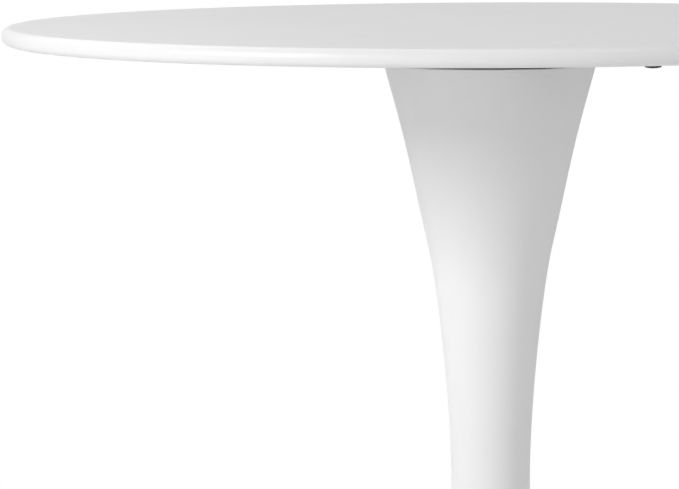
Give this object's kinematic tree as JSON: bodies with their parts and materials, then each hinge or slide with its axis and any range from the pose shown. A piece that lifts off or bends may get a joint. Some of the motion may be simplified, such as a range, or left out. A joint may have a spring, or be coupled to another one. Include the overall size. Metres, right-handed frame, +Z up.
{
  "type": "round pedestal table",
  "caption": "Round dining table: a flat disc top with a rounded edge on a slim trumpet-shaped column that flares into a round weighted foot with screw-in levelling glides.",
  "frame": {"origin": "on the floor, in the middle of the foot, with the levelling glides screwed fully in", "axes": "+Z up along the column, through the middle of the round top; +X and +Y level"},
  "size_m": [1.03, 1.03, 0.75],
  "materials": {
    "white_lacquer": "satin white lacquer on fibreboard",
    "white_shell": "finely textured white moulding",
    "white_powder_coat": "white powder coat",
    "black_steel": "satin black powder coat",
    "black_plastic": "moulded black plastic",
    "zinc_steel": "zinc plated",
    "iron": "rough casting, primed grey",
    "brass": "machined"
  },
  "bodies": {
    "table": {"table_top": "white_lacquer", "top_screw_1": "black_steel", "threaded_insert_1": "brass", "top_screw_2": "black_steel", "threaded_insert_2": "brass", "top_screw_3": "black_steel", "threaded_insert_3": "brass", "top_screw_4": "black_steel", "threaded_insert_4": "brass", "top_screw_5": "black_steel", "threaded_insert_5": "brass", "top_screw_6": "black_steel", "threaded_insert_6": "brass", "top_screw_7": "black_steel", "threaded_insert_7": "brass", "top_screw_8": "black_steel", "threaded_insert_8": "brass", "bracket_arm_1": "black_steel", "arm_end_cap_1": "black_plastic", "bracket_arm_2": "black_steel", "arm_end_cap_2": "black_plastic", "bracket_arm_3": "black_steel", "arm_end_cap_3": "black_plastic", "bracket_arm_4": "black_steel", "arm_end_cap_4": "black_plastic", "bracket_plate": "black_steel", "mouth_plug": "black_plastic", "pedestal_column": "white_shell", "foot_shell": "white_powder_coat", "foot_collar": "black_steel", "foot_weight": "iron", "tie_rod": "zinc_steel", "upper_rod_washer": "zinc_steel", "upper_rod_nut": "zinc_steel", "lower_rod_washer": "zinc_steel", "lower_rod_nut": "zinc_steel"},
    "levelling_glide_1": {"levelling_glide_1": "black_plastic"},
    "levelling_glide_2": {"levelling_glide_2": "black_plastic"},
    "levelling_glide_3": {"levelling_glide_3": "black_plastic"},
    "levelling_glide_4": {"levelling_glide_4": "black_plastic"}
  },
  "joints": [
    {"name": "glide_1_screw", "type": "slide", "parent": "table", "child": "levelling_glide_1", "axis": [0, 0, -1], "range_m": [0, 0.005]},
    {"name": "glide_2_screw", "type": "slide", "parent": "table", "child": "levelling_glide_2", "axis": [0, 0, -1], "range_m": [0, 0.005]},
    {"name": "glide_3_screw", "type": "slide", "parent": "table", "child": "levelling_glide_3", "axis": [0, 0, -1], "range_m": [0, 0.005]},
    {"name": "glide_4_screw", "type": "slide", "parent": "table", "child": "levelling_glide_4", "axis": [0, 0, -1], "range_m": [0, 0.005]}
  ]
}
